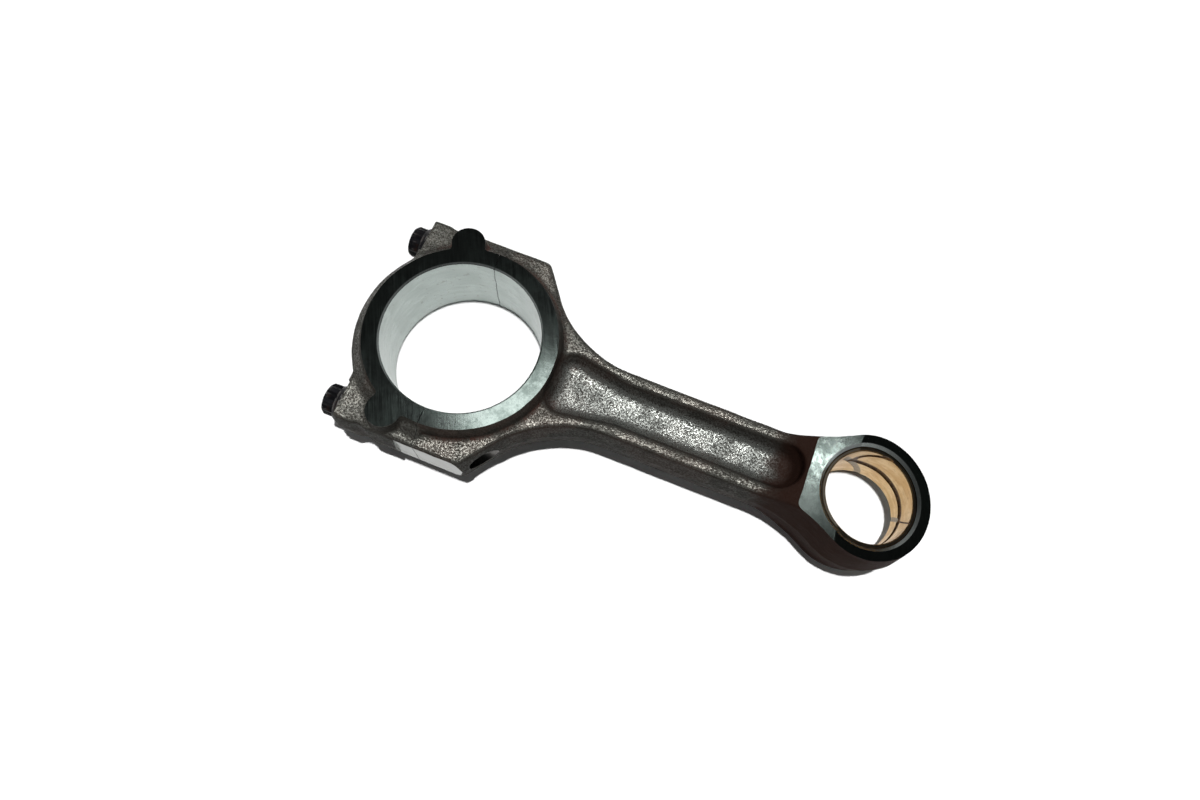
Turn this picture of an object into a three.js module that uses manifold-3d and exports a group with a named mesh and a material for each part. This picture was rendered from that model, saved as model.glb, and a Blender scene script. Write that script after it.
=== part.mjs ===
// Connecting rod of a diesel engine, in millimetres: a forged rod, the cap cracked off its big end,
// two flange bolts that hold the cap, and the bush pressed into the small end.
// The origin is the centre of the big-end bore, +X runs to the small end and +Z lies along both bores.
import * as THREE from "three";
import { mergeVertices } from "three/addons/utils/BufferGeometryUtils.js";
import Module from "manifold-3d";

const wasm = await Module();
wasm.setup();

// ---- Driving dimensions ----
const centreDistance = 192; // between the two bores' axes
const clearance = 0.3; // left between pieces that seat on each other

// Big end
const bigBoreRadius = 36;
const bigEndWidth = 39.5; // between the two thrust faces
const boreChamfer = 0.8;
const thrustRingWall = 7.8; // radial width of a machined thrust face
const ringStep = 3.5; // height of the thrust ring's own wall above the forging
const ringFlare = 1.6; // by which that wall spreads on its way down
const ringSkirt = 0.6; // by which it spreads further down to the forging
const crownWall = 16.2; // the cap's thickness at the parting line, on the rod's axis
const holeWall = 1.6; // between the big bore and a bolt's hole
const sideWall = 3.8; // between that hole and the forging's side, at the parting line
const shoulderLength = 22; // from the split face to the corner of a shoulder
const shoulderAngle = THREE.MathUtils.degToRad(54); // how steeply a shoulder falls to the beam
const seatDistance = 38; // from the split face to the bolt seats
const flankMilling = 1.2; // milled off the shoulders' sides
const capFlank = 9; // how far that milling runs on along the cap
const padRadius = 7.6; // machined pads beside the thrust face on the cap
const padSetback = 16.2; // from the split face to a pad's centre
const padSlope = 0.08; // of a pad's side
const notchRadius = 5.5; // of the hollow in the cap's side between a pad and its bolt seat
const notchDepth = 2.2;
const notchSetback = 26.5; // from the split face to that hollow's centre

// Forging
const forgingHeight = 24.4; // over the beam's flanges and the shoulders
const flashLand = 1; // band left at the parting line
const draftSlope = Math.tan(THREE.MathUtils.degToRad(10)); // of the forging's sides
const cornerFillet = 4.5;
const beamWidth = 34; // at the parting line
const beamFillet = 50; // where the beam flares into the shoulders

// I-section pockets
const webThickness = 7.5;
const pocketWidth = 21.4; // between the flanges' inner edges
const pocketSlope = Math.tan(THREE.MathUtils.degToRad(23)); // of a pocket's walls
const pocketMouthWidth = 30; // where the pocket widens behind the big end
const pocketMouthLength = 12;
const pocketTaperLength = 18; // from that mouth down to the plain pocket
const pocketRunOut = 11.5; // how far the pocket runs into the small end's ramp
const pocketLip = 2.2; // from the thrust ring's foot to the pocket

// Small end
const bushRadius = 20; // the bush's bore
const bushWall = 1.85;
const bushRecess = 1.5; // the bush's ends lie this far below the faces
const drumWall = 7.4; // round the bush, at the parting line
const neckFillet = 48;
const neckOverlap = 8; // how far the neck's forging reaches back into the beam
const neckAngle = THREE.MathUtils.degToRad(28); // how the beam flares to the small end
const faceMargin = 7.15; // flat face between the bush and the ramp
const rampLength = 13; // over which the beam rises to that face
const taperStart = 10.35; // from the small bore's axis back to where the faces start to slope
const taperSlope = 0.19;

// Cap bolts
const boltRadius = 6;
const boltReach = 20; // how far a bolt runs into the rod
const holeClearance = 0.4; // round the bolt, in the cap
const headRim = 1.6; // by which the head is larger than the thread
const flangeRim = 2; // by which the flange is larger than the head
const flangeHeight = 3.6;
const headHeight = 6.4;
const headPoints = 12;
const pointDepth = 0.9;
const headChamfer = 1;
const headCore = 1.5; // by which the core inside the head is smaller than the head
const tipChamfer = 1.2;
const seatSink = 0.6; // depth of the spot face under a bolt's flange
const seatMargin = 0.9; // by which a spot face is larger than the flange

// ---- Sizes that follow ----
const halfWidth = bigEndWidth / 2;
const halfForging = forgingHeight / 2;
const halfBeam = beamWidth / 2;
const thrustRadius = bigBoreRadius + thrustRingWall;
const ringFoot = thrustRadius + ringFlare;
const holeRadius = boltRadius + holeClearance;
const boltY = bigBoreRadius + holeWall + holeRadius;
const sideY = boltY + holeRadius + sideWall;
const headRadius = boltRadius + headRim;
const flangeRadius = headRadius + flangeRim;
const drumRadius = bushRadius + bushWall + drumWall;
const bushOutside = bushRadius + bushWall;
const rampTop = bushOutside + faceMargin;
const rampFoot = rampTop + rampLength;
const far = 2 * (centreDistance + bigBoreRadius); // larger than anything that is cut

// ---- Solids ----

// A closed three.js geometry as a solid that can be joined and cut.
function solidOf(geometry) {
  geometry.deleteAttribute("normal");
  geometry.deleteAttribute("uv");
  const merged = mergeVertices(geometry, 1e-4);
  const mesh = new wasm.Mesh({
    numProp: 3,
    vertProperties: merged.attributes.position.array,
    triVerts: new Uint32Array(merged.index.array),
  });
  mesh.merge();
  return new wasm.Manifold(mesh);
}

// The solid as a named mesh with its own material.
function meshOf(name, solid, material) {
  const { vertProperties, triVerts } = solid.getMesh();
  const geometry = new THREE.BufferGeometry();
  geometry.setAttribute("position", new THREE.BufferAttribute(vertProperties, 3));
  geometry.setIndex(new THREE.BufferAttribute(triVerts, 1));
  geometry.computeVertexNormals();
  const mesh = new THREE.Mesh(geometry, material);
  mesh.name = name;
  return mesh;
}

const joined = (...solids) => solids.reduce((whole, next) => whole.add(next));
const cut = (solid, ...tools) => tools.reduce((rest, tool) => rest.subtract(tool), solid);

// A box between two corners.
function block([x0, y0, z0], [x1, y1, z1]) {
  const geometry = new THREE.BoxGeometry(x1 - x0, y1 - y0, z1 - z0);
  return solidOf(geometry.translate((x0 + x1) / 2, (y0 + y1) / 2, (z0 + z1) / 2));
}

// A body turned round the Z axis from its [radius, height] outline, given upwards from the axis.
function turnedGeometry(outline, segments) {
  const points = outline.map(([radius, height]) => new THREE.Vector2(radius, height));
  return new THREE.LatheGeometry(points, segments).rotateX(Math.PI / 2);
}

// The same outline mirrored in the plane of the parting line, from the lower face to the upper one.
function mirrored(upper) {
  const lower = upper.map(([radius, height]) => [radius, -height]);
  return [...lower.reverse(), ...upper];
}

// A closed outline through corners given anticlockwise as [x, y, fillet radius].
function outlineOf(corners) {
  const shape = new THREE.Shape();
  corners.forEach(([x, y, radius = 0], i) => {
    const corner = new THREE.Vector2(x, y);
    const back = new THREE.Vector2(...corners.at(i - 1)).sub(corner).normalize();
    const on = new THREE.Vector2(...corners[(i + 1) % corners.length]).sub(corner).normalize();
    const half = back.angleTo(on) / 2;
    const start = corner.clone().addScaledVector(back, radius / Math.tan(half));
    if (i === 0) shape.moveTo(start.x, start.y);
    else shape.lineTo(start.x, start.y);
    if (radius === 0) return;
    const end = corner.clone().addScaledVector(on, radius / Math.tan(half));
    const bisector = back.clone().add(on).normalize();
    const centre = corner.clone().addScaledVector(bisector, radius / Math.sin(half));
    const from = start.sub(centre).angle();
    const to = end.sub(centre).angle();
    shape.absarc(centre.x, centre.y, radius, from, to, back.cross(on) > 0);
  });
  return shape;
}

// The corners on the +Y side, followed by the same ones on the -Y side, as one anticlockwise round.
function bothSides(corners) {
  const lower = corners.map(([x, y, radius]) => [x, -y, radius]).reverse();
  return [...corners, ...lower];
}

// A drafted body: the outline's full size at the parting line, and smaller at both faces.
function forged(shape, halfHeight, curveSegments, slope = draftSlope) {
  const sideDraft = draftOver(halfHeight, slope);
  const geometry = new THREE.ExtrudeGeometry(shape, {
    depth: flashLand,
    bevelThickness: halfHeight - flashLand / 2,
    bevelSize: sideDraft,
    bevelOffset: -sideDraft,
    bevelSegments: 1,
    curveSegments,
  });
  return solidOf(geometry.translate(0, 0, -flashLand / 2));
}

// What a drafted side loses between the flash land and a face at the given height.
function draftOver(halfHeight, slope = draftSlope) {
  return (halfHeight - flashLand / 2) * slope;
}

// A round outline of many points, at the radius given for each.
function roundOutline(x, y, count, radiusOf) {
  const points = Array.from({ length: count }, (_, i) => {
    const angle = (2 * Math.PI * i) / count;
    return new THREE.Vector2(x + radiusOf(i) * Math.cos(angle), y + radiusOf(i) * Math.sin(angle));
  });
  return new THREE.Shape(points);
}

// A bore's cutter round the Z axis, with a chamfer at each mouth.
function boreCutter(x, radius, halfLength, chamfer, segments) {
  const upper = [
    [radius, halfLength - chamfer],
    [radius + 2 * chamfer, halfLength + chamfer],
    [0, halfLength + chamfer],
  ];
  return solidOf(turnedGeometry(mirrored(upper), segments).translate(x, 0, 0));
}

// A body turned round an axis along X through y, from its [radius, x] outline.
function turnedAlongX(outline, y, segments = 28) {
  return solidOf(turnedGeometry(outline, segments).rotateY(Math.PI / 2).translate(0, y, 0));
}

const rodAlongX = (radius, from, to, y) =>
  turnedAlongX([[0, from], [radius, from], [radius, to], [0, to]], y);

// ---- Shared features ----

// The small end's side view, sunk below its faces by a depth, as a slab that trims what it meets.
function smallEndProfile(depth) {
  const face = halfWidth - depth;
  const tip = 2 * drumRadius;
  const upper = [
    [-rampFoot - neckFillet, halfForging - depth],
    [-rampFoot, halfForging - depth],
    [-rampTop, face],
    [-taperStart, face],
    [tip, face - taperSlope * (tip + taperStart)],
  ];
  const corners = [...upper, ...upper.map(([x, z]) => [x, -z]).reverse()];
  const shape = new THREE.Shape(corners.map(([x, z]) => new THREE.Vector2(x, z)));
  const geometry = new THREE.ExtrudeGeometry(shape, { depth: far, bevelEnabled: false });
  return solidOf(geometry.rotateX(Math.PI / 2).translate(centreDistance, far / 2, 0));
}

// Flat milled sides of the shoulders, which run from the cap on to the rod.
function flankCutters() {
  const flankY = sideY - flankMilling;
  return [1, -1].map((side) =>
    block(
      [-capFlank, side > 0 ? flankY : -far, -far],
      [far, side > 0 ? far : -flankY, far],
    ),
  );
}

// Hollows in the cap's sides, between the pads and the bolt seats.
function notchCutters() {
  return [1, -1].map((side) => {
    const y = side * (sideY + notchRadius - notchDepth);
    const ends = [[0, -far], [notchRadius, -far], [notchRadius, far], [0, far]];
    return solidOf(turnedGeometry(ends, 28).translate(-notchSetback, y, 0));
  });
}

const bigBore = boreCutter(0, bigBoreRadius, halfWidth, boreChamfer, 96);
const holeCutters = (radius, from, to) => [boltY, -boltY].map((y) => rodAlongX(radius, from, to, y));

// ---- Rod ----

function beamAndShoulders() {
  const fall = (sideY - halfBeam) / Math.tan(shoulderAngle);
  return forged(
    outlineOf(
      bothSides([
        [centreDistance - bushOutside, halfBeam, 0],
        [shoulderLength + fall, halfBeam, beamFillet],
        [shoulderLength, sideY, cornerFillet],
        [-cornerFillet, sideY, 0],
      ]),
    ),
    halfForging,
    6,
  );
}

// The drum round the bush, with the neck that flares into it, trimmed to the ramp and the sloping faces.
function smallEnd() {
  const [cos, sin] = [Math.cos(neckAngle), Math.sin(neckAngle)];
  const straight = Math.max(0, (drumRadius * cos - halfBeam - neckFillet * (1 - cos)) / sin);
  const start = centreDistance - (drumRadius + neckFillet) * sin - straight * cos;
  const quarter = Math.PI / 2;
  const shape = new THREE.Shape()
    .moveTo(start - neckOverlap, -halfBeam)
    .absarc(start, -halfBeam - neckFillet, neckFillet, quarter, quarter - neckAngle, true)
    .absarc(centreDistance, 0, drumRadius, -quarter - neckAngle, quarter + neckAngle, false)
    .absarc(start, halfBeam + neckFillet, neckFillet, neckAngle - quarter, -quarter, true)
    .lineTo(start - neckOverlap, halfBeam);
  return forged(shape, halfWidth, 12).intersect(smallEndProfile(0));
}

// One pocket of the I-section, sunk from the forging's face to the web.
function pocket() {
  const mouthStart = thrustRadius - pocketLip;
  const mouthEnd = ringFoot + pocketLip + pocketMouthLength;
  const shape = outlineOf(
    bothSides([
      [centreDistance - rampFoot + pocketRunOut, pocketWidth / 2, pocketWidth / 2 - 0.5],
      [mouthEnd + pocketTaperLength, pocketWidth / 2, 20],
      [mouthEnd - pocketMouthLength / 2, pocketMouthWidth / 2, 5],
      [mouthStart, pocketMouthWidth / 2, 0],
    ]),
  );
  const depth = (forgingHeight - webThickness) / 2;
  const nearEdge = ringFoot + pocketLip;
  const ringSeat = solidOf(
    turnedGeometry(
      [
        [0, -depth],
        [nearEdge + draftOver(depth, pocketSlope), -depth],
        [nearEdge, 0],
        [nearEdge, depth],
        [0, depth],
      ],
      96,
    ),
  );
  return cut(forged(shape, depth, 6, pocketSlope), ringSeat).translate([0, 0, halfForging]);
}

function rodBody() {
  const ring = solidOf(
    turnedGeometry(
      [
        [0, -halfWidth],
        [thrustRadius, -halfWidth],
        [ringFoot, ringStep - halfWidth],
        [ringFoot + ringSkirt, -halfForging],
        [ringFoot + ringSkirt, halfForging],
        [ringFoot, halfWidth - ringStep],
        [thrustRadius, halfWidth],
        [0, halfWidth],
      ],
      96,
    ),
  );
  const above = pocket();
  const beam = cut(joined(beamAndShoulders(), smallEnd()), above, above.mirror([0, 0, 1]));
  return cut(
    joined(beam, ring),
    bigBore,
    boreCutter(centreDistance, bushOutside + clearance, halfWidth, boreChamfer, 72),
    ...flankCutters(),
    ...holeCutters(boltRadius + clearance, -far, far),
    block([-far, -far, -far], [clearance / 2, far, far]),
  );
}

// ---- Cap ----

function bearingCap() {
  const crownRadius = bigBoreRadius + crownWall;
  const crown = solidOf(
    turnedGeometry(
      mirrored([
        [crownRadius, flashLand / 2],
        [crownRadius - draftOver(halfForging), halfForging - ringStep / 2],
        [ringFoot + 1, halfWidth - ringStep],
        [ringFoot, halfWidth - ringStep],
        [thrustRadius, halfWidth],
        [0, halfWidth],
      ]),
      96,
    ),
  );
  const seatX = -seatDistance - seatSink;
  const seats = forged(
    outlineOf([
      [cornerFillet, -sideY, 0],
      [cornerFillet, sideY, 0],
      [seatX, sideY, cornerFillet],
      [seatX, -sideY, cornerFillet],
    ]),
    halfForging,
    3,
  );
  const padFoot = padRadius + draftOver(halfWidth, padSlope);
  const pads = [boltY, -boltY].map((y) =>
    forged(roundOutline(-padSetback, y, 30, () => padFoot), halfWidth, 1, padSlope),
  );
  const spotFaces = [boltY, -boltY].map((y) => rodAlongX(flangeRadius + seatMargin, -far, -seatDistance, y));
  return cut(
    joined(crown, seats, ...pads),
    bigBore,
    ...spotFaces,
    ...notchCutters(),
    ...flankCutters(),
    ...holeCutters(holeRadius, -far, far),
    block([-clearance / 2, -far, -far], [far, far, far]),
  );
}

// ---- Cap bolts ----

// A bolt with a flange and a head of twelve points, its axis at the given y.
function capBolt(y) {
  const seat = -seatDistance - clearance;
  const stem = turnedAlongX(
    [
      [0, seat - flangeHeight - headHeight / 2],
      [headRadius - headCore, seat - flangeHeight - headHeight / 2],
      [headRadius - headCore / 3, seat - flangeHeight],
      [flangeRadius, seat - flangeHeight / 3],
      [flangeRadius, seat],
      [boltRadius, seat],
      [boltRadius, boltReach - tipChamfer],
      [boltRadius - tipChamfer, boltReach],
      [0, boltReach],
    ],
    y,
  );
  const star = roundOutline(0, 0, 2 * headPoints, (i) => headRadius - (i % 2) * pointDepth);
  const head = new THREE.ExtrudeGeometry(star, {
    depth: headHeight - 2 * headChamfer,
    bevelThickness: headChamfer,
    bevelSize: headChamfer,
    bevelOffset: -headChamfer,
    bevelSegments: 1,
  });
  head.rotateY(Math.PI / 2).translate(seat - flangeHeight - headHeight + headChamfer, y, 0);
  return stem.add(solidOf(head));
}

// ---- Bush ----

function smallEndBush() {
  const sleeve = rodAlongZ(bushOutside);
  return cut(sleeve, rodAlongZ(bushRadius)).intersect(smallEndProfile(bushRecess));
}

function rodAlongZ(radius) {
  const ends = [[0, -far], [radius, -far], [radius, far], [0, far]];
  return solidOf(turnedGeometry(ends, 72).translate(centreDistance, 0, 0));
}

// ---- Assembly ----

const forgedSteel = new THREE.MeshStandardMaterial({ color: 0x6b645c, roughness: 0.55, metalness: 0.9 });
const capSteel = new THREE.MeshStandardMaterial({ color: 0x5f625d, roughness: 0.5, metalness: 0.9 });
const blackSteel = new THREE.MeshStandardMaterial({ color: 0x17171b, roughness: 0.4, metalness: 0.8 });
const bronze = new THREE.MeshStandardMaterial({ color: 0xcfae78, roughness: 0.3, metalness: 1 });

const connectingRod = new THREE.Group();
connectingRod.add(
  meshOf("rod_body", rodBody(), forgedSteel),
  meshOf("bearing_cap", bearingCap(), capSteel),
  meshOf("cap_bolt_left", capBolt(boltY), blackSteel),
  meshOf("cap_bolt_right", capBolt(-boltY), blackSteel),
  meshOf("small_end_bush", smallEndBush(), bronze),
);

export default connectingRod;
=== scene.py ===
"""A forged connecting rod with its cap, bolts and bush, on a pale floor under soft lights.

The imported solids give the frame: where each piece sits and how it moves. Each piece is modelled
again here at the same size, with the forging's rounded edges, its machined faces, the bolts'
threads and the bush's oil grooves, and with a material for each finish.

Lengths are metres. X runs from the big end to the small end and Z lies along both bores.
"""

import logging
import math
from collections.abc import Callable, Iterable, Sequence
from dataclasses import dataclass, field
from enum import Enum

import bmesh
import bpy
from bmesh.types import BMesh, BMFace, BMVert
from bpy.types import Material, NodeSocket, Object
from mathutils import Matrix, Vector, noise


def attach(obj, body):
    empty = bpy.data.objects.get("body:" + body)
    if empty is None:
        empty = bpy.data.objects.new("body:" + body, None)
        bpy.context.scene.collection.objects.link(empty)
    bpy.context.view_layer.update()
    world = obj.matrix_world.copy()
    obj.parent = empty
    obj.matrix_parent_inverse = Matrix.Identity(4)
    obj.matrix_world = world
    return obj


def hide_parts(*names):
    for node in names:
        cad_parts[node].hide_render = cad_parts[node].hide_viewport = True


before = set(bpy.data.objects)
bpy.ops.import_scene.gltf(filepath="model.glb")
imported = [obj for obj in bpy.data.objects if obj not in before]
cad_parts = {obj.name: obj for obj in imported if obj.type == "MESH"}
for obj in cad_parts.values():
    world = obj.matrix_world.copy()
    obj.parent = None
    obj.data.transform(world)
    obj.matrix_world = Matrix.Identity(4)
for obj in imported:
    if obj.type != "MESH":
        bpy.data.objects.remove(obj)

MM = 0.001
FULL_TURN = 2 * math.pi
FAR = 0.5  # longer than anything that is cut
TOUCH = 0.01 * MM  # how far two shapes that meet run into each other

FINE_CREASE = math.radians(9)  # the angle from which an edge in a machined face shows as sharp

# Sizes that several pieces share.
CENTRES = 192 * MM  # between the axes of the two bores
HALF_WIDTH = 19.75 * MM
BOLT_Y = 44 * MM
FOLD = 10.35 * MM  # from the small bore's axis back to where the faces start to slope
FOLD_SLOPE = 0.19

log = logging.getLogger("connecting_rod")


# ---------------------------------------------------------------------------------------------
# Shapes
# ---------------------------------------------------------------------------------------------


@dataclass(frozen=True)
class Corner:
    """A corner of an outline, with the radius that rounds it."""

    x: float
    y: float
    fillet: float = 0.0


def both_sides(corners: Sequence[Corner], between: Sequence[Corner] = ()) -> list[Corner]:
    """Closes an outline that is the same on both sides of the X axis.

    Args:
        corners: The corners of the +Y side.
        between: Corners on the axis, which follow those.

    Returns:
        The corners with their twins on the -Y side.
    """
    return [*corners, *between, *(Corner(c.x, -c.y, c.fillet) for c in reversed(corners))]


def outline_face(bm: BMesh, corners: Sequence[Corner], height: float) -> BMFace:
    """Lays a flat face with rounded corners.

    Args:
        bm: The mesh that gets the face.
        corners: The outline's corners, in order.
        height: The face's height.

    Returns:
        The face, which looks up.
    """
    verts = [bm.verts.new((c.x, c.y, height)) for c in corners]
    face = bm.faces.new(verts)
    for i, (vert, corner) in enumerate(zip(verts, corners)):
        if not corner.fillet:
            continue
        before, after = corners[i - 1], corners[(i + 1) % len(corners)]
        back = Vector((before.x - corner.x, before.y - corner.y))
        ahead = Vector((after.x - corner.x, after.y - corner.y))
        bmesh.ops.bevel(
            bm,
            geom=[vert],
            offset=corner.fillet / math.tan(back.angle(ahead) / 2),
            affect="VERTICES",
            segments=10,
            profile=0.5,
            material=-1,
        )
    face = bm.faces[:][0]
    face.normal_update()
    if face.normal.z < 0:
        face.normal_flip()
    return face


def drafted_prism(corners: Sequence[Corner], base: float, rise: float, slope: float = 0.0) -> BMesh:
    """Raises an outline into a prism that narrows on the way.

    Args:
        corners: The outline at the base.
        base: The base's height.
        rise: How far the prism goes from its base, downwards if negative.
        slope: How much the sides lean in per length of rise.

    Returns:
        The closed prism.
    """
    bm = bmesh.new()
    face = outline_face(bm, corners, base)
    if rise < 0:
        face.normal_flip()
    bmesh.ops.inset_region(
        bm,
        faces=[face],
        thickness=abs(rise) * slope,
        depth=abs(rise),
        use_even_offset=True,
        use_boundary=True,
    )
    bmesh.ops.holes_fill(bm, edges=[e for e in bm.edges if e.is_boundary])
    bmesh.ops.recalc_face_normals(bm, faces=bm.faces)
    return bm


def forged_plate(corners: Sequence[Corner], half_height: float, slope: float) -> BMesh:
    """Makes a body that is widest at the parting line and narrows towards both faces.

    Args:
        corners: The outline at the parting line.
        half_height: The height from the parting line to a face.
        slope: The draft of the sides.

    Returns:
        The closed body.
    """
    bm = bmesh.new()
    face = outline_face(bm, corners, 0.0)
    bmesh.ops.inset_region(
        bm,
        faces=[face],
        thickness=half_height * slope,
        depth=half_height,
        use_even_offset=True,
        use_boundary=True,
    )
    bmesh.ops.mirror(
        bm, geom=[*bm.verts, *bm.edges, *bm.faces], merge_dist=1e-6, axis="Z"
    )
    bmesh.ops.recalc_face_normals(bm, faces=bm.faces)
    return bm


def turned(profile: Sequence[tuple[float, float]], steps: int = 192, hollow: bool = False) -> BMesh:
    """Turns an outline of (radius, height) points round the Z axis.

    Args:
        profile: The outline, which starts and ends on the axis unless the body is hollow.
        steps: The number of steps in a full turn.
        hollow: Whether the outline closes on itself, clear of the axis.

    Returns:
        The closed body.
    """
    bm = bmesh.new()
    verts = [bm.verts.new((radius, 0, height)) for radius, height in profile]
    pairs = list(zip(verts, verts[1:]))
    if hollow:
        pairs.append((verts[-1], verts[0]))
    edges = [bm.edges.new(pair) for pair in pairs]
    bmesh.ops.spin(
        bm,
        geom=[*verts, *edges],
        cent=(0, 0, 0),
        axis=(0, 0, 1),
        angle=FULL_TURN,
        steps=steps,
        use_merge=True,
    )
    bmesh.ops.remove_doubles(bm, verts=bm.verts, dist=1e-7)
    bmesh.ops.recalc_face_normals(bm, faces=bm.faces)
    return bm


def mirrored(upper: Sequence[tuple[float, float]]) -> list[tuple[float, float]]:
    """Returns a (radius, height) outline followed downwards by its mirror image."""
    return [*upper, *((radius, -height) for radius, height in reversed(upper))]


def box(corner: Sequence[float], opposite: Sequence[float]) -> BMesh:
    """Makes a box between two opposite corners.

    Args:
        corner: One corner.
        opposite: The other one.

    Returns:
        The box.
    """
    low = Vector([min(pair) for pair in zip(corner, opposite)])
    high = Vector([max(pair) for pair in zip(corner, opposite)])
    bm = bmesh.new()
    size = Matrix.Diagonal((*(high - low), 1))
    bmesh.ops.create_cube(bm, size=1, matrix=Matrix.Translation((low + high) / 2) @ size)
    return bm


def moved(bm: BMesh, matrix: Matrix) -> BMesh:
    """Returns the same mesh after the matrix has moved it."""
    bmesh.ops.transform(bm, matrix=matrix, verts=bm.verts)
    return bm


def along_x(bm: BMesh, y: float = 0.0) -> BMesh:
    """Returns a body made along Z, laid along X at the given y, its height becoming its x."""
    return moved(bm, Matrix.Translation((0, y, 0)) @ Matrix.Rotation(math.pi / 2, 4, "Y"))


def cylinder(radius: float, start: float, end: float, steps: int = 64) -> BMesh:
    """Returns a cylinder along Z between two heights."""
    return turned([(0, start), (radius, start), (radius, end), (0, end)], steps)


def across(corners: Sequence[Corner]) -> BMesh:
    """Returns a long prism along Y whose corners give x and z."""
    return moved(drafted_prism(corners, -FAR / 2, FAR), Matrix.Rotation(math.pi / 2, 4, "X"))


def upside_down(bm: BMesh) -> BMesh:
    """Mirrors a mesh to the other side of the parting line.

    Args:
        bm: The mesh.

    Returns:
        The same mesh.
    """
    bmesh.ops.scale(bm, vec=(1, 1, -1), verts=bm.verts)
    bmesh.ops.recalc_face_normals(bm, faces=bm.faces)
    return bm


def thickened(bm: BMesh, offset: Sequence[float]) -> BMesh:
    """Draws a sheet out into a closed body.

    Args:
        bm: The sheet.
        offset: How far and which way its copy goes.

    Returns:
        The same mesh.
    """
    made = bmesh.ops.extrude_face_region(bm, geom=bm.faces[:])
    far_side = [item for item in made["geom"] if isinstance(item, BMVert)]
    bmesh.ops.translate(bm, vec=offset, verts=far_side)
    bmesh.ops.recalc_face_normals(bm, faces=bm.faces)
    return bm


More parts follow.
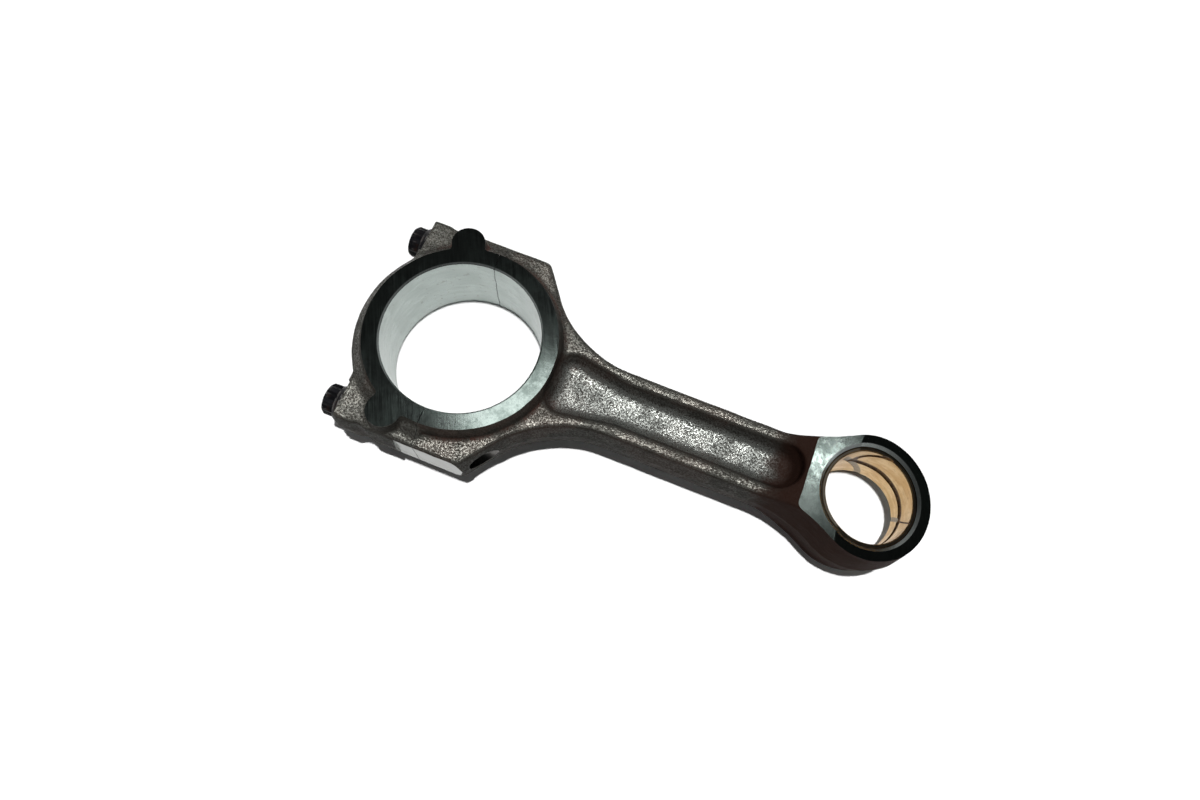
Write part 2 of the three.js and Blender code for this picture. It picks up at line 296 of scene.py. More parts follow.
class Solid:
    """A closed mesh object that others are joined to and cut from."""

    def __init__(self, name: str, bm: BMesh, finish: Material | None = None) -> None:
        """Makes the object and frees the bmesh.

        Args:
            name: The object's name.
            bm: Its shape.
            finish: The material of all its faces.
        """
        mesh = bpy.data.meshes.new(name)
        bm.to_mesh(mesh)
        bm.free()
        self.object: Object = bpy.data.objects.new(name, mesh)
        bpy.context.scene.collection.objects.link(self.object)
        if finish:
            mesh.materials.append(finish)

    def copy(self, name: str) -> "Solid":
        """Makes a second solid of the same shape.

        Args:
            name: The second solid's name.

        Returns:
            The second solid.
        """
        bm = bmesh.new()
        bm.from_mesh(self.object.data)
        twin = Solid(name, bm)
        for material in self.object.data.materials:
            twin.object.data.materials.append(material)
        return twin

    def take_shape(self) -> BMesh:
        """Removes the solid's object and keeps its shape.

        Returns:
            The shape.
        """
        bm = bmesh.new()
        bm.from_mesh(self.object.data)
        bpy.data.objects.remove(self.object)
        return bm

    def clad(self, finish: Material) -> None:
        """Gives the whole solid one finish in place of what it had."""
        self.object.data.materials.clear()
        self.object.data.materials.append(finish)

    def apply_modifiers(self) -> None:
        """Bakes the object's modifiers into its mesh."""
        bpy.context.view_layer.update()
        graph = bpy.context.evaluated_depsgraph_get()
        mesh = bpy.data.meshes.new_from_object(self.object.evaluated_get(graph))
        self.object.modifiers.clear()
        old, self.object.data = self.object.data, mesh
        bpy.data.meshes.remove(old)

    def combine(self, operation: str, bm: BMesh, finish: Material | None = None) -> "Solid":
        """Joins, cuts or trims the solid with another shape.

        Args:
            operation: UNION, DIFFERENCE or INTERSECT.
            bm: The other shape, which is used up.
            finish: The material of the faces that the other shape leaves.

        Returns:
            This solid.
        """
        tool = Solid("tool", bm, finish or self.first_material())
        step = self.object.modifiers.new(operation.lower(), "BOOLEAN")
        step.operation = operation
        step.object = tool.object
        step.solver = "MANIFOLD"
        step.material_mode = "TRANSFER"
        self.apply_modifiers()
        bpy.data.objects.remove(tool.object)
        return self

    def first_material(self) -> Material | None:
        """Returns the material that the solid started with."""
        materials = self.object.data.materials
        return materials[0] if materials else None

    def add(self, bm: BMesh) -> "Solid":
        """Joins another shape to the solid."""
        return self.combine("UNION", bm)

    def cut(self, bm: BMesh, finish: Material | None = None) -> "Solid":
        """Cuts another shape out of the solid."""
        return self.combine("DIFFERENCE", bm, finish)

    def keep(self, bm: BMesh, finish: Material | None = None) -> "Solid":
        """Keeps only what lies inside another shape."""
        return self.combine("INTERSECT", bm, finish)

    def reshape(self, change: Callable[[BMesh], None]) -> "Solid":
        """Edits the solid's mesh in a bmesh.

        Args:
            change: What edits it.

        Returns:
            This solid.
        """
        bm = bmesh.new()
        bm.from_mesh(self.object.data)
        change(bm)
        bm.to_mesh(self.object.data)
        bm.free()
        return self

    def chamfer(self, wall: Material, face: Material, width: float, finish: Material) -> "Solid":
        """Breaks the edges between a bore's wall and the faces round its mouths.

        Args:
            wall: The wall's material.
            face: The faces' material.
            width: The chamfer's width.
            finish: The chamfer's material.

        Returns:
            This solid.
        """
        materials = self.object.data.materials
        if finish.name not in materials:
            materials.append(finish)
        pair = {materials.find(wall.name), materials.find(face.name)}

        def bevel(bm: BMesh) -> None:
            """Bevels each edge where the two materials meet."""
            rim = [e for e in bm.edges if {f.material_index for f in e.link_faces} == pair]
            made = bmesh.ops.bevel(
                bm, geom=rim, offset=width, affect="EDGES", segments=1, profile=0.5, material=-1
            )
            for strip in made["faces"]:
                strip.material_index = materials.find(finish.name)

        return self.reshape(bevel)

    def finish_piece(self, body: str, slot: str, node: str, crease: float = 45.0) -> Object:
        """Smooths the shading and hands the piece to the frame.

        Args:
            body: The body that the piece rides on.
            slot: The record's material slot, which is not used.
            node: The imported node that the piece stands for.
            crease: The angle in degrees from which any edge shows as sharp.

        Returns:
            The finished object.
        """

        def sharpen(bm: BMesh) -> None:
            """Marks the edges where a machined face ends."""
            for edge in bm.edges:
                kinds = {f.material_index for f in edge.link_faces}
                machined = kinds != {0} and len(edge.link_faces) == 2
                if machined and (len(kinds) > 1 or edge.calc_face_angle() > FINE_CREASE):
                    edge.smooth = False

        mesh = self.object.data
        mesh.shade_smooth()
        mesh.set_sharp_from_angle(angle=math.radians(crease))
        self.reshape(sharpen)
        flats = self.object.modifiers.new("flats", "WEIGHTED_NORMAL")
        flats.keep_sharp = True
        flats.weight = 100
        self.apply_modifiers()
        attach(self.object, body)
        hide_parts(node)
        log.info("%s: %d faces", self.object.name, len(self.object.data.polygons))
        return self.object


# ---------------------------------------------------------------------------------------------
# Finishes
# ---------------------------------------------------------------------------------------------

Colour = tuple[float, float, float]
Value = float | NodeSocket


class Recipe:
    """A material's node tree, with short calls for the nodes that the finishes share."""

    def __init__(self, name: str) -> None:
        """Starts a material with one shader.

        Args:
            name: The material's name.
        """
        self.material = bpy.data.materials.new(name)
        self.material.use_nodes = True
        self.tree = self.material.node_tree
        self.shader = self.tree.nodes["Principled BSDF"]
        place = self.tree.nodes.new("ShaderNodeTexCoord")
        self.place: NodeSocket = place.outputs["Object"]
        self.normal: NodeSocket = place.outputs["Normal"]

    def feed(self, socket: NodeSocket, value: object) -> None:
        """Sets a socket to a value, or links another socket to it."""
        if isinstance(value, NodeSocket):
            self.tree.links.new(value, socket)
        else:
            socket.default_value = value

    def math(self, operation: str, first: Value, second: Value = 0.0, third: Value = 0.0) -> NodeSocket:
        """Adds a Math node.

        Args:
            operation: The node's operation.
            first: Its first value.
            second: Its second value.
            third: Its third value.

        Returns:
            The result.
        """
        node = self.tree.nodes.new("ShaderNodeMath")
        node.operation = operation
        for socket, value in zip(node.inputs, (first, second, third)):
            self.feed(socket, value)
        return node.outputs[0]

    def times(self, first: Value, second: Value) -> NodeSocket:
        """Returns the product of two values."""
        return self.math("MULTIPLY", first, second)

    def plus(self, first: Value, second: Value) -> NodeSocket:
        """Returns the sum of two values."""
        return self.math("ADD", first, second)

    def fit(
        self, value: NodeSocket, low: float, high: float, start: float = 0.0, end: float = 1.0
    ) -> NodeSocket:
        """Maps a value smoothly from one range to another, held at both ends.

        Args:
            value: What is mapped.
            low: The value that gives the start.
            high: The value that gives the end.
            start: The result at the low value.
            end: The result at the high value.

        Returns:
            The result.
        """
        node = self.tree.nodes.new("ShaderNodeMapRange")
        node.interpolation_type = "SMOOTHSTEP"
        for socket, part in zip(node.inputs, (value, low, high, start, end)):
            self.feed(socket, part)
        return node.outputs[0]

    def grain(
        self, size: float, detail: float = 2.0, roughness: float = 0.5, at: NodeSocket | None = None
    ) -> NodeSocket:
        """Returns a noise with spots of about the given size.

        Args:
            size: The spots' size in metres.
            detail: The number of finer layers.
            roughness: The weight of the finer layers.
            at: The coordinates, the object's own if left out.

        Returns:
            The noise's value, about 0.3 to 0.7.
        """
        node = self.tree.nodes.new("ShaderNodeTexNoise")
        self.feed(node.inputs["Vector"], at or self.place)
        node.inputs["Scale"].default_value = 1 / size
        node.inputs["Detail"].default_value = detail
        node.inputs["Roughness"].default_value = roughness
        return node.outputs["Fac"]

    def stretched(
        self, scale: Sequence[float], turn: float = 0.0, at: NodeSocket | None = None
    ) -> NodeSocket:
        """Returns coordinates that are turned about Z and stretched.

        Args:
            scale: The factor along each axis after the turn.
            turn: The turn in degrees.
            at: The coordinates, the object's own if left out.

        Returns:
            The new coordinates.
        """
        turned_by = self.tree.nodes.new("ShaderNodeVectorRotate")
        turned_by.rotation_type = "Z_AXIS"
        self.feed(turned_by.inputs["Vector"], at or self.place)
        turned_by.inputs["Angle"].default_value = math.radians(turn)
        scaled = self.tree.nodes.new("ShaderNodeVectorMath")
        scaled.operation = "MULTIPLY"
        self.feed(scaled.inputs[0], turned_by.outputs[0])
        scaled.inputs[1].default_value = scale
        return scaled.outputs[0]

    def parts(self, vector: NodeSocket) -> tuple[NodeSocket, NodeSocket, NodeSocket]:
        """Splits a vector.

        Args:
            vector: The vector.

        Returns:
            Its x, y and z.
        """
        node = self.tree.nodes.new("ShaderNodeSeparateXYZ")
        self.feed(node.inputs[0], vector)
        return node.outputs[0], node.outputs[1], node.outputs[2]

    def vector(self, x: Value, y: Value, z: Value) -> NodeSocket:
        """Joins three values.

        Args:
            x: The vector's x.
            y: Its y.
            z: Its z.

        Returns:
            The vector.
        """
        node = self.tree.nodes.new("ShaderNodeCombineXYZ")
        for socket, value in zip(node.inputs, (x, y, z)):
            self.feed(socket, value)
        return node.outputs[0]

    def round_bore(self, centre_x: float) -> NodeSocket:
        """Returns coordinates unrolled round a bore along Z: the arc's angle, then the height.

        Args:
            centre_x: Where the bore's axis stands.

        Returns:
            The vector (angle in radians, height in metres, radius in metres).
        """
        x, y, z = self.parts(self.place)
        x = self.math("SUBTRACT", x, centre_x)
        radius = self.math("SQRT", self.plus(self.times(x, x), self.times(y, y)))
        return self.vector(self.math("ARCTAN2", y, x), z, radius)

    def mix(self, amount: Value, first: Colour | NodeSocket, second: Colour | NodeSocket) -> NodeSocket:
        """Blends two colours.

        Args:
            amount: The second colour's share.
            first: The first colour.
            second: The second colour.

        Returns:
            The blend.
        """
        node = self.tree.nodes.new("ShaderNodeMix")
        node.data_type = "RGBA"
        self.feed(node.inputs["Factor"], amount)
        for socket, colour in zip((node.inputs[6], node.inputs[7]), (first, second)):
            self.feed(socket, colour if isinstance(colour, NodeSocket) else (*colour, 1.0))
        return node.outputs[2]

    def attribute(self, name: str) -> NodeSocket:
        """Reads one of the piece's own attributes.

        Args:
            name: The attribute's name.

        Returns:
            Its value.
        """
        node = self.tree.nodes.new("ShaderNodeAttribute")
        node.attribute_name = name
        return node.outputs["Fac"]

    def bump(self, height: NodeSocket, depth: float, under: NodeSocket | None = None) -> NodeSocket:
        """Returns a normal that follows a height.

        Args:
            height: The height, 0 to 1.
            depth: The relief in metres from 0 to 1.
            under: Another bump's normal that this one adds to.

        Returns:
            The normal.
        """
        node = self.tree.nodes.new("ShaderNodeBump")
        node.inputs["Distance"].default_value = depth
        self.feed(node.inputs["Height"], height)
        if under:
            self.feed(node.inputs["Normal"], under)
        return node.outputs[0]

    def dress(self, **values: object) -> Material:
        """Sets the shader's sockets by name and returns the material.

        Args:
            **values: Values or sockets by socket name, with underscores for spaces.

        Returns:
            The finished material.
        """
        for name, value in values.items():
            socket = self.shader.inputs[name.replace("_", " ").title().replace("Ior", "IOR")]
            if isinstance(value, tuple) and len(value) == 3:
                value = (*value, 1.0)
            self.feed(socket, value)
        return self.material


@dataclass(frozen=True)
class ForgedSteel:
    """Shot-blasted forging: grey grains over brown scale, with rust in its corners, painted shade on its side
    walls and painted highlights on its edges.
    """

    name: str
    blasted: Colour = (0.175, 0.175, 0.157)
    sheltered: Colour = (0.40, 0.42, 0.395)  # the blasted grey down in the pockets
    # brown scale, which on the side walls also stands for painted shade
    scale: Colour = (0.018, 0.0162, 0.0135)
    rust: Colour = (0.070, 0.017, 0.009)
    old_scale: Colour = (0.019, 0.0075, 0.005)
    flange_height: float = 10.6 * MM
    neck_start: float = 0.141  # the small end's neck kept its brown scale
    neck_end: float = 0.157

    def material(self) -> Material:
        """Builds the finish's nodes.

        Returns:
            The finish's material.
        """
        r = Recipe(self.name)
        x, _, z = r.parts(r.place)
        grit = r.grain(0.42 * MM, 3, 0.6)
        specks = r.grain(0.95 * MM, 2, 0.6)
        mottle = r.grain(9 * MM, 3, 0.6)
        drift = r.grain(35 * MM, 3, 0.55)
        _, _, facing = r.parts(r.normal)
        wall = r.fit(r.math("ABSOLUTE", facing), 0.35, 0.88, 1.0, 0.0)
        raised = r.fit(r.math("ABSOLUTE", z), self.flange_height - 2 * MM, self.flange_height)
        ragged = r.plus(x, r.times(r.math("SUBTRACT", mottle, 0.5), 0.02))
        neck = r.fit(ragged, self.neck_start, self.neck_end)

        # How much of the scale is blasted off: less at the neck, and less on the side walls, which is partly
        # real scale and partly painted shade.
        bright = r.plus(r.times(r.fit(grit, 0.42, 0.60), 0.5), r.times(r.fit(specks, 0.43, 0.60), 0.5))
        bright = r.times(bright, r.fit(mottle, 0.34, 0.60, 0.55, 1.0))
        bright = r.times(bright, r.fit(wall, 0.0, 1.0, 1.0, 0.16))
        bright = r.times(bright, r.fit(neck, 0.0, 1.0, 1.0, 0.16))
        # Edges are lighter: partly wear, partly a painted highlight.
        lighter_edges = r.fit(r.attribute("edge"), 0.25, 1.0)
        bright = r.math("MINIMUM", r.plus(bright, r.times(lighter_edges, 0.25)), 1.0)
        colour = r.mix(bright, self.scale, r.mix(raised, self.sheltered, self.blasted))

        # Rust in the corners and in patches.
        corner = r.fit(r.attribute("hollow"), 0.12, 0.75)
        patches = r.fit(r.plus(r.times(drift, 0.6), r.times(mottle, 0.4)), 0.47, 0.60)
        rusty = r.times(r.math("MINIMUM", r.plus(r.times(corner, 0.9), 0.12), 1.0), patches)
        colour = r.mix(r.times(rusty, 0.85), colour, self.rust)
        colour = r.mix(r.times(neck, 0.8), colour, self.old_scale)

        # Lengthwise lines that the dies and the trimmed flash left on the side walls.
        lines = r.grain(3.2 * MM, 2, 0.5, at=r.stretched((0.03, 0.03, 1.0)))
        lines = r.times(lines, wall)
        relief = r.plus(r.times(grit, 0.45), r.times(specks, 0.55))
        pits = r.bump(relief, 0.32 * MM, r.bump(lines, 0.12 * MM))
        waves = r.bump(r.grain(4.5 * MM, 2, 0.5), 0.35 * MM, pits)
        return r.dress(
            base_color=colour,
            metallic=r.times(r.fit(bright, 0.0, 0.6), r.fit(rusty, 0.0, 1.0, 1.0, 0.4)),
            roughness=r.fit(bright, 0.0, 1.0, 0.50, 0.28),
            specular_ior_level=0.008,
            normal=waves,
        )


class Lay(Enum):
    """Which way a tool's marks run."""

    STRAIGHT = "straight"
    ROUND = "round"


@dataclass(frozen=True)
class MachinedSteel:
    """Bare cut steel with fine tool marks and a thin oily tarnish."""

    name: str
    bright: Colour = (0.19, 0.225, 0.21)
    tarnish: Colour = (0.085, 0.11, 0.10)
    shine: float = 0.105  # roughness of the clean steel
    lay: Lay = Lay.STRAIGHT
    turn: float = 24.0  # direction of straight marks, in degrees
    mark: float = 0.25 * MM  # width of a mark
    depth: float = 0.004 * MM
    stains: float = 0.5

    def marks(self, r: Recipe) -> NodeSocket:
        """Returns the tool marks' height.

        Args:
            r: The material's recipe.

        Returns:
            A noise drawn out along the marks.
        """
        if self.lay is Lay.STRAIGHT:
            return r.grain(self.mark, 2, 0.6, at=r.stretched((0.012, 1.0, 1.0), self.turn))
        x, y, z = r.parts(r.place)
        radius = r.math("SQRT", r.plus(r.times(y, y), r.times(z, z)))
        return r.grain(self.mark, 2, 0.6, at=r.vector(x, radius, 0.0))

    def material(self) -> Material:
        """Builds the finish's nodes.

        Returns:
            The finish's material.
        """
        r = Recipe(self.name)
        marks = self.marks(r)
        film = r.grain(11 * MM, 4, 0.6)
        spots = r.grain(1.6 * MM, 3, 0.6)
        stained = r.fit(r.plus(r.times(film, 0.7), r.times(spots, 0.3)), 0.42, 0.62)
        dull = r.times(stained, self.stains)
        colour = r.mix(dull, self.bright, self.tarnish)
        colour = r.mix(r.fit(marks, 0.35, 0.65, 0.16, 0.0), colour, (0.05, 0.055, 0.05))
        shine = r.plus(r.fit(marks, 0.3, 0.7, self.shine - 0.02, self.shine + 0.03), r.times(dull, 0.05))
        return r.dress(
            base_color=colour,
            metallic=1.0,
            roughness=shine,
            normal=r.bump(marks, self.depth, r.bump(film, 0.03 * MM)),
        )


@dataclass(frozen=True)
class HonedBore:
    """A bore's honed wall: pale satin steel under a fine crosshatch."""

    name: str
    centre_x: float
    radius: float
    steel: Colour = (0.345, 0.39, 0.37)
    shade: Colour = (0.28, 0.32, 0.30)
    crosshatch: float = 32.0  # the strokes' angle from the bore's round, in degrees

    def material(self) -> Material:
        """Builds the finish's nodes.

        Returns:
            The finish's material.
        """
        r = Recipe(self.name)
        angle, height, _ = r.parts(r.round_bore(self.centre_x))
        sheet = r.vector(r.times(angle, self.radius), height, 0.0)
        left = r.grain(0.22 * MM, 1, 0.5, at=r.stretched((0.02, 1, 1), self.crosshatch, sheet))
        right = r.grain(0.22 * MM, 1, 0.5, at=r.stretched((0.02, 1, 1), -self.crosshatch, sheet))
        strokes = r.plus(r.times(left, 0.5), r.times(right, 0.5))
        streaks = r.grain(2.4 * MM, 3, 0.6, at=r.stretched((0.12, 1, 1), 0.0, sheet))
        smears = r.grain(12 * MM, 3, 0.6)
        spots = r.fit(r.grain(2.0 * MM, 2, 0.5), 0.64, 0.72)
        shaded = r.fit(r.plus(r.times(streaks, 0.5), r.times(smears, 0.5)), 0.42, 0.62)
        colour = r.mix(r.times(shaded, 0.35), self.steel, self.shade)
        colour = r.mix(r.times(spots, 0.4), colour, (0.18, 0.17, 0.14))
        return r.dress(
            base_color=colour,
            metallic=1.0,
            roughness=r.plus(r.fit(strokes, 0.35, 0.65, 0.24, 0.34), r.times(shaded, 0.08)),
            normal=r.bump(strokes, 0.008 * MM, r.bump(streaks, 0.01 * MM)),
        )


@dataclass(frozen=True)
class BrokenSteel:
    """The cracked face of the split: coarse bright crystals in a grey grain."""

    name: str
    grain: Colour = (0.30, 0.30, 0.29)
    shade: Colour = (0.09, 0.088, 0.085)

    def material(self) -> Material:
        """Builds the finish's nodes.

        Returns:
            The finish's material.
        """
        r = Recipe(self.name)
        crystals = r.grain(0.5 * MM, 4, 0.7)
        ridges = r.grain(2.2 * MM, 3, 0.6)
        colour = r.mix(r.fit(crystals, 0.38, 0.6), self.shade, self.grain)
        return r.dress(
            base_color=colour,
            metallic=0.9,
            roughness=r.fit(crystals, 0.3, 0.7, 0.62, 0.36),
            normal=r.bump(crystals, 0.3 * MM, r.bump(ridges, 0.7 * MM)),
        )


@dataclass(frozen=True)
class BlackedSteel:
    """Black phosphate on a bolt, rubbed to steel at its edges, with rust in its grooves."""

    name: str
    black: Colour = (0.007, 0.007, 0.008)
    rubbed: Colour = (0.09, 0.088, 0.085)
    rust: Colour = (0.035, 0.014, 0.008)

    def material(self) -> Material:
        """Builds the finish's nodes.

        Returns:
            The finish's material.
        """
        r = Recipe(self.name)
        fine = r.grain(0.4 * MM, 3, 0.6)
        clouds = r.grain(3.0 * MM, 3, 0.6)
        lighter_edges = r.times(r.fit(r.attribute("edge"), 0.25, 0.9), r.fit(clouds, 0.4, 0.6))
        rusty = r.times(r.fit(clouds, 0.54, 0.66), r.fit(fine, 0.4, 0.6))
        colour = r.mix(lighter_edges, self.black, self.rubbed)
        colour = r.mix(r.times(rusty, 0.5), colour, self.rust)
        return r.dress(
            base_color=colour,
            metallic=0.55,
            roughness=r.fit(fine, 0.3, 0.7, 0.36, 0.58),
            specular_ior_level=0.01,
            normal=r.bump(fine, 0.05 * MM),
        )


@dataclass(frozen=True)
class BushBronze:
    """Fine-bored bronze with round tool marks, paler and browner in patches."""

    name: str
    centre_x: float
    radius: float
    bronze: Colour = (0.50, 0.31, 0.115)
    pale: Colour = (0.62, 0.445, 0.225)
    brown: Colour = (0.26, 0.14, 0.05)

    def material(self) -> Material:
        """Builds the finish's nodes.

        Returns:
            The finish's material.
        """
        r = Recipe(self.name)
        angle, height, _ = r.parts(r.round_bore(self.centre_x))
        sheet = r.vector(r.times(angle, self.radius), height, 0.0)
        marks = r.grain(0.3 * MM, 2, 0.6, at=r.stretched((0.01, 1, 1), 0.0, sheet))
        smears = r.grain(6 * MM, 3, 0.6, at=r.stretched((0.5, 1, 1), 0.0, sheet))
        spots = r.grain(1.5 * MM, 3, 0.6)
        colour = r.mix(r.fit(smears, 0.4, 0.62), self.bronze, self.pale)
        browned = r.plus(r.times(r.fit(spots, 0.52, 0.68), 0.35), r.times(r.fit(marks, 0.5, 0.7), 0.18))
        colour = r.mix(browned, colour, self.brown)
        return r.dress(
            base_color=colour,
            metallic=0.9,
            roughness=r.fit(marks, 0.3, 0.7, 0.30, 0.46),
            normal=r.bump(marks, 0.015 * MM, r.bump(spots, 0.03 * MM)),
        )


@dataclass(frozen=True)
class OiledGroove:
    """The bottom of an oil groove, brown with baked oil."""

    name: str
    dark: Colour = (0.075, 0.036, 0.014)
    light: Colour = (0.20, 0.115, 0.045)

    def material(self) -> Material:
        """Builds the finish's nodes.

        Returns:
            The finish's material.
        """
        r = Recipe(self.name)
        clots = r.grain(1.2 * MM, 3, 0.6)
        return r.dress(
            base_color=r.mix(r.fit(clots, 0.35, 0.65), self.dark, self.light),
            metallic=0.4,
            roughness=r.fit(clots, 0.3, 0.7, 0.35, 0.6),
            normal=r.bump(clots, 0.06 * MM),
        )


# ---------------------------------------------------------------------------------------------
# Forging
# ---------------------------------------------------------------------------------------------


LONG_EDGE = 2.5 * MM  # edges over this length cross a flat face and say nothing about the bend
FULL_BEND = 0.16  # the bend that counts as a whole edge or corner


def mark_curvature(solid: Solid, reach: int = 3) -> None:
    """Stores how much each point stands out or lies in a hollow, for wear and painted highlights on edges and
    for dirt in hollows.

    Args:
        solid: The piece, which gets the point attributes edge and hollow, 0 to 1.
        reach: How many rounds of averaging spread the values.
    """
    mesh = solid.object.data
    bm = bmesh.new()
    bm.from_mesh(mesh)
    bm.normal_update()
    bm.verts.index_update()
    around: list[list[int]] = []
    bend: list[float] = []
    for vert in bm.verts:
        near = [edge.other_vert(vert) for edge in vert.link_edges if edge.calc_length() < LONG_EDGE]
        around.append([other.index for other in near])
        if not near:
            bend.append(0.0)
            continue
        middle = sum((other.co for other in near), Vector()) / len(near)
        length = sum((other.co - vert.co).length for other in near) / len(near)
        bend.append((middle - vert.co).dot(vert.normal) / max(length, 1e-5))
    bm.free()
    for _ in range(reach):
        bend = [
            0.5 * own + 0.5 * sum(bend[i] for i in near) / len(near) if near else own
            for own, near in zip(bend, around)
        ]
    for name, sign in (("edge", -1.0), ("hollow", 1.0)):
        layer = mesh.attributes.new(name, "FLOAT", "POINT")
        layer.data.foreach_set("value", [min(1.0, max(0.0, sign * b / FULL_BEND)) for b in bend])


@dataclass
class Forging:
    """The rod and its cap as one forging, before machining and cracking."""

    centre_distance: float = CENTRES
    half_height: float = 12.2 * MM
    draft: float = math.tan(math.radians(6.5))
    # Big end
    bore_radius: float = 36 * MM
    half_width: float = HALF_WIDTH
    thrust_radius: float = 43.8 * MM
    ring_step: float = 3.5 * MM
    ring_flare: float = 1.6 * MM
    ring_skirt: float = 0.6 * MM
    ring_root: float = 2 * MM  # from the forging's face down to where the ring's skirt ends
    crown_wall: float = 16.2 * MM
    crown_rim: tuple[float, float] = (2.4 * MM, 1 * MM)  # the bevel round the crown, in and down
    crown_land: float = 0.2 * MM  # half the height of the crown's widest part
    crown_end: float = 1.5 * MM  # how far the crown's round reaches past the split
    side_y: float = 54.2 * MM
    shoulder_length: float = 22 * MM
    shoulder_angle: float = math.radians(54)
    seat_distance: float = 40.5 * MM  # with the stock that the bolt seats are milled from
    ear_fillet: float = 3 * MM
    bolt_y: float = BOLT_Y
    pad_radius: float = 7.6 * MM
    pad_flare: float = 1.4 * MM
    pad_setback: float = 16.2 * MM
    notch_radius: float = 5.5 * MM
    notch_setback: float = 26.5 * MM
    notch_offset: float = 0.6  # of the notch's radius, from the ear's side outwards
    allowance: float = 3.2 * MM  # stock above the faces that are machined
    # Beam
    half_beam: float = 17 * MM
    beam_end: float = 22 * MM  # short of the small bore's axis
    beam_fillet: float = 50 * MM
    corner_fillet: float = 4.5 * MM
    web_thickness: float = 7.5 * MM
    pocket_width: float = 21.4 * MM
    pocket_slope: float = math.tan(math.radians(23))
    pocket_mouth: float = 30 * MM
    pocket_lip: float = -1.2 * MM  # from the thrust ring's foot, into the ring's own wall
    pocket_turn: float = math.radians(6)  # half of the arc that follows the ring's foot
    mouth_fillet: float = 7.4 * MM
    mouth_end: float = 53.6 * MM
    mouth_bend: float = 6 * MM
    taper_end: float = 77.6 * MM
    taper_bend: float = 20 * MM
    pocket_end: float = 161.5 * MM
    pocket_end_flat: float = 0.8 * MM  # what the round end leaves straight on each side
    pocket_floor_round: float = 3.2 * MM
    clear_above: float = 8 * MM  # how far the cutter stands out of the pocket
    # Small end
    drum_radius: float = 29.25 * MM
    neck_angle: float = math.radians(28)
    neck_fillet: float = 48 * MM
    neck_root: float = 25 * MM  # how far the neck runs into the beam
    ramp_foot: float = 42 * MM
    ramp_top: float = 29 * MM
    ramp_bend: float = 16 * MM
    ramp_crest: float = 2 * MM
    # Surface
    voxel: float = 0.75 * MM
    rounding: int = 22
    waves: tuple[float, float] = (110, 0.16 * MM)  # how many to the metre, and their height
    ripples: tuple[float, float] = (420, 0.05 * MM)
    flash: float = 0.35 * MM
    flash_width: float = 0.7 * MM

    def big_end_shapes(self) -> Iterable[BMesh]:
        """Makes the drafted bodies of the big end.

        Yields:
            One body after another.
        """
        half, slope = self.half_height, self.draft
        foot = self.thrust_radius + self.ring_flare
        stock = self.half_width + self.allowance
        lean = self.ring_flare / self.ring_step
        ring = [
            (0, stock),
            (self.thrust_radius - self.allowance * lean, stock),
            (foot, self.half_width - self.ring_step),
            (foot + self.ring_skirt, half - self.ring_root),
        ]
        yield turned(mirrored(ring))
        crown = self.bore_radius + self.crown_wall
        bevel, drop = self.crown_rim
        arch = [
            (0, self.half_width - self.ring_step),
            (foot + self.ring_skirt, self.half_width - self.ring_step),
            (crown - bevel, half - drop),
            (crown, self.crown_land),
        ]
        shell = turned(mirrored(arch))
        bmesh.ops.bisect_plane(
            shell,
            geom=[*shell.verts, *shell.edges, *shell.faces],
            plane_co=(self.crown_end, 0, 0),
            plane_no=(1, 0, 0),
            clear_outer=True,
        )
        bmesh.ops.holes_fill(shell, edges=[e for e in shell.edges if e.is_boundary])
        yield shell
        fall = (self.side_y - self.half_beam) / math.tan(self.shoulder_angle)
        beam = [
            Corner(self.centre_distance - self.beam_end, self.half_beam),
            Corner(self.shoulder_length + fall, self.half_beam, self.beam_fillet),
            Corner(self.shoulder_length, self.side_y, self.corner_fillet),
            Corner(-self.corner_fillet, self.side_y),
        ]
        yield forged_plate(both_sides(beam), half, slope)
        ears = [
            Corner(self.corner_fillet, self.side_y),
            Corner(-self.seat_distance, self.side_y, self.ear_fillet),
        ]
        yield forged_plate(both_sides(ears), half, slope)
        pad = [(0, stock), (self.pad_radius, stock), (self.pad_radius + self.pad_flare, 0)]
        for side in (1, -1):
            place = (-self.pad_setback, side * self.bolt_y, 0)
            yield moved(turned(mirrored(pad), 48), Matrix.Translation(place))

    def small_end(self) -> Solid:
        """Makes the drum and its neck, trimmed to the ramp that rises to the faces.

        Returns:
            The small end.
        """
        stock = self.half_width + self.allowance
        drum = [(0, stock), (self.drum_radius - stock * self.draft, stock), (self.drum_radius, 0)]
        place = Matrix.Translation((self.centre_distance, 0, 0))
        end = Solid("small_end", moved(turned(mirrored(drum)), place))
        tangent_x = self.centre_distance - self.drum_radius * math.sin(self.neck_angle)
        tangent_y = self.drum_radius * math.cos(self.neck_angle)
        bend_x = tangent_x - (tangent_y - self.half_beam) / math.tan(self.neck_angle)
        neck = both_sides(
            [
                Corner(tangent_x, tangent_y),
                Corner(bend_x, self.half_beam, self.neck_fillet),
                Corner(bend_x - self.neck_root, self.half_beam),
            ]
        )
        end.add(forged_plate(neck, stock, self.draft))
        rise = (self.half_width - self.half_height) / (self.ramp_foot - self.ramp_top)
        top = self.allowance / rise
        upper = [
            Corner(self.centre_distance - 2 * self.ramp_foot, self.half_height),
            Corner(self.centre_distance - self.ramp_foot, self.half_height, self.ramp_bend),
            Corner(self.centre_distance - self.ramp_top + top, stock, self.ramp_crest),
            Corner(self.centre_distance + FAR, stock),
        ]
        return end.keep(across(both_sides(upper)))

